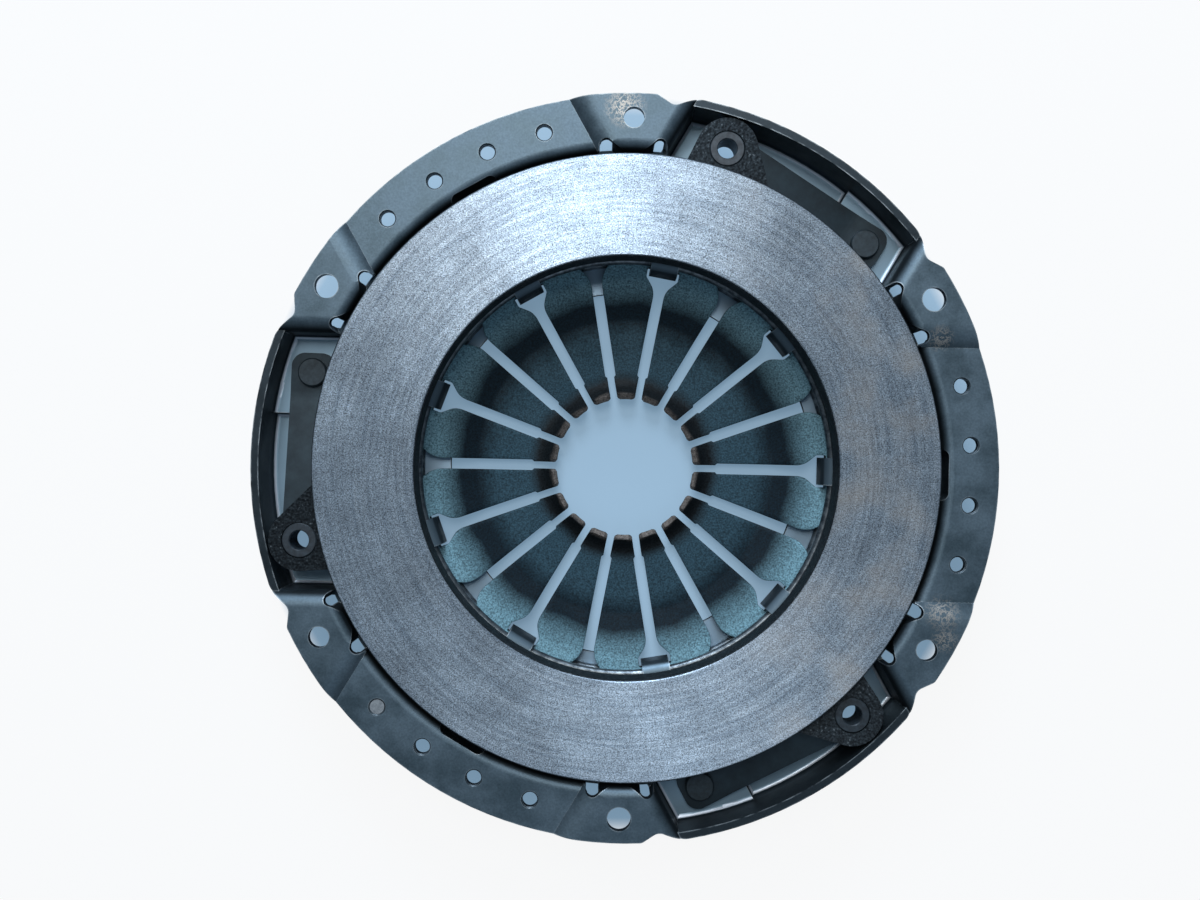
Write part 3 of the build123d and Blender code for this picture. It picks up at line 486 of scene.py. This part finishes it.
# Plain steels: wire, straps and rivets. Each is dark from its phosphate or heat, or bright from its
# zinc, and its specks and marks are at their own scale. Specks and bumps are in mm.
steelFinishes = {
    "drawnWire": {"light": "#76828a", "dark": "#39424a", "speck": 3.0, "metallic": 0.8,
                  "roughness": 0.34, "bump": 0.01},
    "bluedStripSteel": {"light": "#26363f", "dark": "#1b2830", "speck": 9.0, "metallic": 0.6,
                        "roughness": 0.42, "bump": 0.01},
    "phosphatedRivet": {"light": "#2b3a43", "dark": "#1f2b32", "speck": 1.6, "metallic": 0.45,
                        "roughness": 0.5, "bump": 0.03},
    "upsetRivet": {"light": "#333f48", "dark": "#20282f", "speck": 2.2, "metallic": 0.35,
                   "roughness": 0.5, "bump": 0.04},
    "zincPlatedRivet": {"light": "#c9d2d8", "dark": "#8d979f", "speck": 1.8, "metallic": 0.8,
                        "roughness": 0.32, "bump": 0.03},
}
steelPattern = {"stops": (0.36, 0.66), "unevenness": 0.06, "bumpStrength": 0.5}


def plainSteel(name, finish, pattern):
    material, tree, shader = newMaterial(name)
    place = addNode(tree, "ShaderNodeTexCoord").outputs["Object"]
    specks = addNode(tree, "ShaderNodeTexNoise", {"Scale": perMetre / finish["speck"], "Detail": 6.0,
                     "Roughness": 0.65}, {"Vector": place})
    darkStop, lightStop = pattern["stops"]
    colour = addNode(tree, "ShaderNodeValToRGB",
                     {"stops": ((darkStop, finish["dark"]), (lightStop, finish["light"]))}, {0: specks})
    rough = addNode(tree, "ShaderNodeMapRange",
                    noiseSpan | {"To Min": finish["roughness"] + pattern["unevenness"],
                                 "To Max": finish["roughness"] - pattern["unevenness"]}, {0: specks})
    bump = addNode(tree, "ShaderNodeBump", {"Strength": pattern["bumpStrength"],
                   "Distance": finish["bump"] * mm}, {"Height": specks})
    joinShader(tree, shader, finish, colour.outputs[0], rough.outputs[0], bump.outputs[0])
    return material


finishes = {name: plainSteel(name, finish, steelPattern) for name, finish in steelFinishes.items()}
finishes["phosphatedSteelSheet"] = phosphatedSheet(sheetFinish)
finishes["turnedGreyCastIron"] = turnedCastIron(castFinish)
finishes["peenedSpringSteel"] = peenedSpringSteel(springFinish)
print("clutch cover:", len(finishes), "materials")


# Camera and lights

view = {
    "place": (-0.01035, 0.006776, 0.420),   # m, straight above, a little off the axis
    "turn": 1.25,                           # degrees
    "lens": 32.79,
    "sensor": 36.0,
}

camera = bpy.data.objects.new("camera", bpy.data.cameras.new("camera"))
camera.data.lens = view["lens"]
camera.data.sensor_width = view["sensor"]
camera.location = view["place"]
camera.rotation_euler = (0, 0, math.radians(view["turn"]))
bpy.context.scene.collection.objects.link(camera)
bpy.context.scene.camera = camera

# azimuth and tilt from straight above in degrees, distance and size in metres
lamps = {
    "key": {"azimuth": 103, "tilt": 24, "distance": 1.2, "size": 0.55, "power": 6.8, "colour": "#fdf7f2"},
    "low": {"azimuth": 97, "tilt": 58, "distance": 1.2, "size": 0.5, "power": 14, "colour": "#e9f3ff"},
    "fill": {"azimuth": 285, "tilt": 42, "distance": 1.3, "size": 0.9, "power": 1.2, "colour": "#dfeeff"},
}

for name, lamp in lamps.items():
    light = bpy.data.lights.new(name, "AREA")
    light.size = lamp["size"]
    light.energy = lamp["power"]
    light.color = linear(lamp["colour"])[:3]
    holder = bpy.data.objects.new(name, light)
    turn, tilt = math.radians(lamp["azimuth"]), math.radians(lamp["tilt"])
    away = Vector((math.sin(tilt) * math.cos(turn), math.sin(tilt) * math.sin(turn), math.cos(tilt)))
    holder.location = away * lamp["distance"]
    holder.rotation_euler = away.to_track_quat("Z", "Y").to_euler()
    bpy.context.scene.collection.objects.link(holder)

# a dim blue sky lights the part, and the camera sees a pale one
sky = {"light": "#d3e4f4", "strength": 0.24, "seen": "#f6f8fa"}

world = bpy.data.worlds.new("softStudio")
bpy.context.scene.world = world
world.use_nodes = True
skyTree = world.node_tree
skyLight = skyTree.nodes["Background"]
skyLight.inputs[0].default_value = linear(sky["light"])
skyLight.inputs[1].default_value = sky["strength"]
skySeen = addNode(skyTree, "ShaderNodeBackground", {"Color": linear(sky["seen"]), "Strength": 1.0})
skyPath = addNode(skyTree, "ShaderNodeLightPath")
skyMix = addNode(skyTree, "ShaderNodeMixShader", {},
                 {0: skyPath.outputs["Is Camera Ray"], 1: skyLight, 2: skySeen})
skyTree.links.new(skyMix.outputs[0], skyTree.nodes["World Output"].inputs["Surface"])
bpy.context.scene.view_settings.view_transform = "Standard"


# Floor: pale matt board under the part, blue through its slots and white to the camera away from it
floorSizes = {
    "half": 1.6,            # m
    "gap": 0.05,            # mm, under the part
    "board": "#a9c4d8",
    "roughness": 0.8,
    "shadeStart": 0.152,    # m, what shows through the outermost holes lies inside this radius
    "shadeEnd": 0.160,
    "seen": "#ffffff",
    "lift": 0.91,
    "underGlow": "#90b2cd",
    "underLift": 0.55,      # share of its own light on the board that is seen through the slots
    "paperSize": 1.5,       # mm
    "paperDepth": 0.05,
    "paperStrength": 0.2,
}


def matBoard(sizes):
    material, tree, shader = newMaterial("mattBoard")
    place = addNode(tree, "ShaderNodeTexCoord").outputs["Object"]
    away = addNode(tree, "ShaderNodeVectorMath", {"operation": "LENGTH"}, {0: place}).outputs["Value"]
    edge = {"From Min": sizes["shadeStart"], "From Max": sizes["shadeEnd"]}
    outside = addNode(tree, "ShaderNodeMapRange", edge | {"interpolation_type": "SMOOTHSTEP",
                      "To Min": sizes["underLift"], "To Max": sizes["lift"]}, {0: away})
    colour = addNode(tree, "ShaderNodeMapRange", edge, {0: away})
    whiter = addNode(tree, "ShaderNodeMix", colourMix | {6: linear(sizes["underGlow"]),
                     7: linear(sizes["seen"])}, {0: colour})
    path = addNode(tree, "ShaderNodeLightPath")
    seen = addNode(tree, "ShaderNodeMath", {"operation": "MULTIPLY"},
                   {0: path.outputs["Is Camera Ray"], 1: outside})
    glow = addNode(tree, "ShaderNodeEmission", {"Strength": 1.0}, {"Color": whiter.outputs[2]})
    paper = addNode(tree, "ShaderNodeTexNoise", {"Scale": perMetre / sizes["paperSize"], "Detail": 3.0},
                    {"Vector": place})
    paperBump = addNode(tree, "ShaderNodeBump", {"Strength": sizes["paperStrength"],
                        "Distance": sizes["paperDepth"] * mm}, {"Height": paper})
    shader.inputs["Base Color"].default_value = linear(sizes["board"])
    shader.inputs["Roughness"].default_value = sizes["roughness"]
    tree.links.new(paperBump.outputs[0], shader.inputs["Normal"])
    mixed = addNode(tree, "ShaderNodeMixShader", {}, {0: seen, 1: shader, 2: glow})
    tree.links.new(mixed.outputs[0], tree.nodes["Material Output"].inputs["Surface"])
    return material


def makeFloor(sizes):
    half = sizes["half"]
    level = cadBox[0][2] - sizes["gap"] * mm
    mesh = bpy.data.meshes.new("floor")
    mesh.from_pydata([(-half, -half, level), (half, -half, level), (half, half, level), (-half, half, level)],
                     [], [(0, 1, 2, 3)])
    floor = bpy.data.objects.new("floor", mesh)
    mesh.materials.append(matBoard(sizes))
    bpy.context.scene.collection.objects.link(floor)


makeFloor(floorSizes)
print("clutch cover: camera, lamps and floor")


# CAD nodes keep their shape and get their finish
packs = (1, 2, 3)        # the strap packs, each with its two rivets
leaves = (1, 2, 3)       # in a pack, from the cover outwards


def dress(name, finish):
    mesh = nodes[name].data
    mesh.materials.clear()
    mesh.materials.append(finishes[finish])


dress("cover", "phosphatedSteelSheet")
dress("pressure_plate", "turnedGreyCastIron")
dress("diaphragm_spring", "peenedSpringSteel")
dress("balance_rivet", "zincPlatedRivet")
for ringNode in ("fulcrum_ring_flywheel_side", "fulcrum_ring_cover_side"):
    dress(ringNode, "drawnWire")
for number in packs:
    dress(f"cover_rivet_{number}", "phosphatedRivet")
    dress(f"lug_rivet_{number}", "upsetRivet")
    for leaf in leaves:
        dress(f"strap_{number}_leaf_{leaf}", "bluedStripSteel")


# Shared steps for what Geometry Nodes make

def newTree(name, sockets):
    # a tree with a geometry in and out, and an input for each size
    tree = bpy.data.node_groups.new(name, "GeometryNodeTree")
    tree.interface.new_socket("Geometry", in_out="OUTPUT", socket_type="NodeSocketGeometry")
    tree.interface.new_socket("Geometry", in_out="INPUT", socket_type="NodeSocketGeometry")
    for title, kind in sockets:
        tree.interface.new_socket(title, in_out="INPUT", socket_type=kind)
    return tree, addNode(tree, "NodeGroupInput")


def closeTree(tree, inlet, geometry):
    real = addNode(tree, "GeometryNodeRealizeInstances", {}, {0: geometry})
    painted = addNode(tree, "GeometryNodeSetMaterial", {},
                      {"Geometry": real, "Material": inlet.outputs["Material"]})
    addNode(tree, "NodeGroupOutput", {}, {0: painted})


def plainMesh(piece):
    # the mesh as its modifiers leave it
    bpy.context.view_layer.update()
    final = bpy.data.meshes.new_from_object(piece.evaluated_get(bpy.context.evaluated_depsgraph_get()))
    piece.modifiers.clear()
    piece.data = final


def growMesh(name, tree, sizes, start=None):
    # run a tree once with its inputs set, and keep the result as a plain mesh
    mesh = start or bpy.data.meshes.new(name)
    grower = bpy.data.objects.new(name, mesh)
    bpy.context.scene.collection.objects.link(grower)
    modifier = grower.modifiers.new("shape", "NODES")
    modifier.node_group = tree
    for item in tree.interface.items_tree:
        if item.in_out == "INPUT" and item.name in sizes:
            modifier[item.identifier] = sizes[item.name]
    plainMesh(grower)
    grower.data.name = name
    return grower


# Diaphragm spring: one sheet with 18 fingers. A finger and the disc sector outside it are separate
# pieces, because they swing opposite ways about the wire rings. Lengths are in mm, angles in degrees.
springSizes = {
    "fingers": 18,
    "thickness": 2.6,
    "outerRadius": 110.0,
    "coneAngle": 10.0,
    "fulcrumRadius": 84.5,
    "bendRadius": 75.0,
    "stepRadius": 61.0,
    "stepHeight": 4.0,
    "fall": 0.5,
    "curlRadius": 33.8,
    "curlHeight": 5.6,
    "tipRadius": 28.9,
    "bendRound": 8.0,
    "tipCorner": 1.2,
    "tipSlot": 2.9,
    "tipSlotEnd": 38.0,
    "slot": 4.4,
    "tabFlareStart": 73.8,
    "tabFlareRound": 8.0,
    "tabKeyholeStart": 79.1,
    "tabKeyholeEnd": 83.2,
    "tabKeyholeHalf": 6.6,
    "plainKeyholeStart": 75.0,
    "plainKeyholeEnd": 87.5,
    "plainKeyholeCorner": 2.5,
    "fingerCorner": 11.0,
    "widestHalf": 8.75,     # more than half of any keyhole, the top of the slots' curves
    "ridgeRadius": 107.0,   # the plate's ridge carries the disc here
    "edgeRound": 0.18,
    "edgeSegments": 2,
    "edgeAngle": 50,
    "smoothAngle": 35,
    "curveSteps": 100,
    "fingerRows": 140,
    "discRows": 40,
    "columns": 11,
}


def springProfile(sizes, fulcrumLevel):
    # level of the sheet's middle at a radius: straight runs with round bends between them
    slope = math.tan(math.radians(sizes["coneAngle"]))
    bendLevel = fulcrumLevel + (sizes["bendRadius"] - sizes["fulcrumRadius"]) * slope
    stepLevel = bendLevel - sizes["stepHeight"]
    curlLevel = stepLevel - sizes["fall"]
    outerLevel = fulcrumLevel + (sizes["outerRadius"] - sizes["fulcrumRadius"]) * slope
    corners = [Vector(corner) for corner in (
        (sizes["tipRadius"], curlLevel + sizes["curlHeight"]), (sizes["curlRadius"], curlLevel),
        (sizes["stepRadius"], stepLevel), (sizes["bendRadius"], bendLevel),
        (sizes["outerRadius"], outerLevel))]

    def level(radius):
        for before, corner, after in zip(corners, corners[1:], corners[2:]):
            into, out = (corner - before).normalized(), (after - corner).normalized()
            turn = math.atan2(out.y, out.x) - math.atan2(into.y, into.x)
            side = 1 if turn > 0 else -1
            length = sizes["bendRound"] * math.tan(abs(turn) / 2)
            first, last = corner - into * length, corner + out * length
            if first.x < radius < last.x:
                centre = first + Vector((-into.y, into.x)) * side * sizes["bendRound"]
                return centre.y - side * math.sqrt(sizes["bendRound"] ** 2 - (radius - centre.x) ** 2)
        for low, high in zip(corners, corners[1:]):
            if radius <= high.x:
                return low.y + (high.y - low.y) * (radius - low.x) / (high.x - low.x)
        return corners[-1].y

    return level


def slotHalf(sizes, radius, keyhole):
    # half the width of a slot at this radius: it flares to a square keyhole round a tab, and
    # between the tabs the fingers' ends are rounded off and the slot opens like a mouth
    half = sizes["tipSlot"] / 2 if radius < sizes["tipSlotEnd"] else sizes["slot"] / 2
    corner = sizes["tipCorner"]
    if radius < sizes["tipRadius"] + corner:
        return half + corner - math.sqrt(max(0.0, corner ** 2 - (sizes["tipRadius"] + corner - radius) ** 2))
    if keyhole == "tab":
        start, full, bend = sizes["tabFlareStart"], sizes["tabKeyholeHalf"], sizes["tabFlareRound"]
        if radius >= sizes["tabKeyholeEnd"]:
            return 0.0
        rise = (full - half) / (sizes["tabKeyholeStart"] - start)
        turn = math.atan(rise)
        length = bend * math.tan(turn / 2)
        if start - length < radius < start + length * math.cos(turn):
            return half + bend - math.sqrt(bend ** 2 - (radius - start + length) ** 2)
        return min(full, half + max(0.0, radius - start) * rise)
    start, end, corner = sizes["plainKeyholeStart"], sizes["plainKeyholeEnd"], sizes["plainKeyholeCorner"]
    if radius >= end:
        return 0.0
    if radius > start:
        reach = min(radius, sizes["fulcrumRadius"]) - start
        half += sizes["fingerCorner"] - math.sqrt(sizes["fingerCorner"] ** 2 - reach ** 2)
    if radius > end - corner:
        half += math.sqrt(corner ** 2 - (radius - end + corner) ** 2) - corner
    return half


def springTree(name, sizes, inner, outer, level):
    # a grid bent to a sector: its rows run out along the radius, its sides follow the two slots.
    # The grid is 1 long and 2 wide about its middle, so that y is -1 at one side and 1 at the other.
    tree, inlet = newTree(name, (
        ("Inner radius", "NodeSocketFloat"), ("Outer radius", "NodeSocketFloat"),
        ("Pitch angle", "NodeSocketFloat"), ("Turn", "NodeSocketFloat"), ("Side", "NodeSocketFloat"),
        ("Rows", "NodeSocketInt"), ("Columns", "NodeSocketInt"), ("Material", "NodeSocketMaterial")))
    steps, widest = sizes["curveSteps"], sizes["widestHalf"]
    radii = [inner + (outer - inner) * i / steps for i in range(steps + 1)]
    levels = [level(radius) for radius in radii]
    low, high = min(levels), max(levels)

    grid = addNode(tree, "GeometryNodeMeshGrid", {"Size X": 1.0, "Size Y": 2.0},
                   {"Vertices X": inlet.outputs["Rows"], "Vertices Y": inlet.outputs["Columns"]})
    spot = addNode(tree, "GeometryNodeInputPosition")
    split = addNode(tree, "ShaderNodeSeparateXYZ", {}, {0: spot})
    across = split.outputs[1]
    along = addNode(tree, "ShaderNodeMath", {"operation": "ADD", 1: 0.5}, {0: split})
    radius = addNode(tree, "ShaderNodeMapRange", {}, {0: along, "To Min": inlet.outputs["Inner radius"],
                     "To Max": inlet.outputs["Outer radius"]})
    height = addNode(tree, "ShaderNodeFloatCurve",
                     {"points": [(i / steps, (z - low) / (high - low)) for i, z in enumerate(levels)]},
                     {1: along})
    raised = addNode(tree, "ShaderNodeMapRange", {"To Min": low * mm, "To Max": high * mm}, {0: height})
    halves = []
    for keyhole in ("tab", "round"):
        outline = [(i / steps, slotHalf(sizes, r, keyhole) / widest) for i, r in enumerate(radii)]
        halves.append(addNode(tree, "ShaderNodeFloatCurve", {"points": outline}, {1: along}))
    sided = addNode(tree, "ShaderNodeMath", {"operation": "MULTIPLY"}, {0: across, 1: inlet.outputs["Side"]})
    isRound = addNode(tree, "ShaderNodeMath", {"operation": "GREATER_THAN", 1: 0.0}, {0: sided})
    half = addNode(tree, "ShaderNodeMix", {"data_type": "FLOAT"}, {0: isRound, 2: halves[0], 3: halves[1]})
    width = addNode(tree, "ShaderNodeMath", {"operation": "MULTIPLY", 1: widest * mm}, {0: half})
    ratio = addNode(tree, "ShaderNodeMath", {"operation": "DIVIDE"}, {0: width, 1: radius})
    slotAngle = addNode(tree, "ShaderNodeMath", {"operation": "ARCSINE"}, {0: ratio})
    halfPitch = addNode(tree, "ShaderNodeMath", {"operation": "MULTIPLY", 1: 0.5},
                        {0: inlet.outputs["Pitch angle"]})
    reach = addNode(tree, "ShaderNodeMath", {"operation": "SUBTRACT"}, {0: halfPitch, 1: slotAngle})
    angle = addNode(tree, "ShaderNodeMath", {"operation": "MULTIPLY_ADD"},
                    {0: across, 1: reach, 2: inlet.outputs["Turn"]})
    ends = []
    for operation in ("COSINE", "SINE"):
        part = addNode(tree, "ShaderNodeMath", {"operation": operation}, {0: angle})
        ends.append(addNode(tree, "ShaderNodeMath", {"operation": "MULTIPLY"}, {0: radius, 1: part}))
    place = addNode(tree, "ShaderNodeCombineXYZ", {}, {0: ends[0], 1: ends[1], 2: raised})
    bent = addNode(tree, "GeometryNodeSetPosition", {}, {0: grid, "Position": place})
    closeTree(tree, inlet, bent)
    return tree


def makeSpring(sizes):
    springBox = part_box("diaphragm_spring")
    cone = math.radians(sizes["coneAngle"])
    outerTop = springBox[1][2] / mm
    outerLevel = outerTop - sizes["thickness"] / 2 * math.cos(cone)
    fulcrumLevel = outerLevel - (sizes["outerRadius"] - sizes["fulcrumRadius"]) * math.tan(cone)
    level = springProfile(sizes, fulcrumLevel)
    fulcrum, tip, outer, ridge = (sizes[name] for name in
                                  ("fulcrumRadius", "tipRadius", "outerRadius", "ridgeRadius"))
    fingerTree = springTree("springFinger", sizes, tip, fulcrum, level)
    discTree = springTree("springDisc", sizes, fulcrum, outer, level)
    pitch = 360 / sizes["fingers"]
    pieces = []
    for k in range(sizes["fingers"]):
        turn = (k + 0.5) * pitch
        shared = {"Pitch angle": math.radians(pitch), "Turn": math.radians(turn),
                  "Side": 1.0 if k % 2 == 0 else -1.0,      # the keyhole at a tab is on every other side
                  "Columns": sizes["columns"], "Material": finishes["peenedSpringSteel"]}
        finger = growMesh(f"spring_finger_{k + 1}", fingerTree, shared | {"Inner radius": tip * mm,
                          "Outer radius": fulcrum * mm, "Rows": sizes["fingerRows"]})
        sector = growMesh(f"spring_disc_{k + 1}", discTree, shared | {"Inner radius": fulcrum * mm,
                          "Outer radius": outer * mm, "Rows": sizes["discRows"]})
        for piece in (finger, sector):
            wall = piece.modifiers.new("sheet", "SOLIDIFY")
            wall.thickness = sizes["thickness"] * mm
            wall.offset = 0.0
            wall.use_even_offset = True
        edges = finger.modifiers.new("peened edge", "BEVEL")
        edges.width = sizes["edgeRound"] * mm
        edges.segments = sizes["edgeSegments"]
        edges.limit_method = "ANGLE"
        edges.angle_limit = math.radians(sizes["edgeAngle"])
        for piece in (finger, sector):
            plainMesh(piece)
            piece.data.shade_smooth()
            piece.data.set_sharp_from_angle(angle=math.radians(sizes["smoothAngle"]))
        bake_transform(finger)
        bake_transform(sector)
        pieces += [finger, sector]
    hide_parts("diaphragm_spring")
    return pieces


springPieces = makeSpring(springSizes)
print("clutch cover: diaphragm spring,", len(springPieces), "pieces")


# Straps: packs of blued steel leaves. One leaf is taken from the frame, cut across into fine steps
# so that it can bend, and stacked. Lengths are in mm, angles in degrees.
strapSizes = {
    "pitch": 0.8,
    "coverRivet": 44.3,
    "lugRivet": 73.7,
    "packTurn": 120,
    "rivetCircle": 130.2,
    "clamped": 9.0,
    "cuts": 24,
    "weld": 0.002,          # points of the leaf's loose triangles nearer than this are one
}


def stackTree():
    # copies of the leaf that comes in, one on the other
    tree, inlet = newTree("leafPack", (("Leaves", "NodeSocketInt"), ("Pitch", "NodeSocketFloat"),
                                       ("Material", "NodeSocketMaterial")))
    step = addNode(tree, "ShaderNodeCombineXYZ", {}, {2: inlet.outputs["Pitch"]})
    line = addNode(tree, "GeometryNodeMeshLine", {"mode": "OFFSET"},
                   {"Count": inlet.outputs["Leaves"], "Offset": step})
    stack = addNode(tree, "GeometryNodeInstanceOnPoints", {},
                    {"Points": line, "Instance": inlet.outputs["Geometry"]})
    closeTree(tree, inlet, stack)
    return tree


def cutLeaf(sizes, number, start, end):
    # the pack's lowest leaf, merged and cut across between its rivets
    shape = bmesh.new()
    shape.from_mesh(nodes[f"strap_{number}_leaf_1"].data)
    bmesh.ops.remove_doubles(shape, verts=shape.verts, dist=sizes["weld"] * mm)
    for i in range(1, sizes["cuts"]):
        everything = shape.verts[:] + shape.edges[:] + shape.faces[:]
        bmesh.ops.bisect_plane(shape, geom=everything, plane_co=start + (end - start) * i / sizes["cuts"],
                               plane_no=(end - start).normalized())
    leafMesh = bpy.data.meshes.new(f"strap_{number}")
    shape.to_mesh(leafMesh)
    shape.free()
    return leafMesh


def makeStraps(sizes):
    tree = stackTree()
    straps = []
    for number in packs:
        turn = (number - 1) * sizes["packTurn"]
        coverEnd = around(sizes["coverRivet"] + turn, sizes["rivetCircle"])
        lugEnd = around(sizes["lugRivet"] + turn, sizes["rivetCircle"])
        strap = growMesh(f"strap_pack_{number}", tree,
                         {"Leaves": len(leaves), "Pitch": sizes["pitch"] * mm,
                          "Material": finishes["bluedStripSteel"]}, cutLeaf(sizes, number, coverEnd, lugEnd))
        strap.data.shade_flat()
        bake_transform(strap)
        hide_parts(*[f"strap_{number}_leaf_{leaf}" for leaf in leaves])
        straps.append(strap)
    return straps


straps = makeStraps(strapSizes)
print("clutch cover:", len(straps), "strap packs")
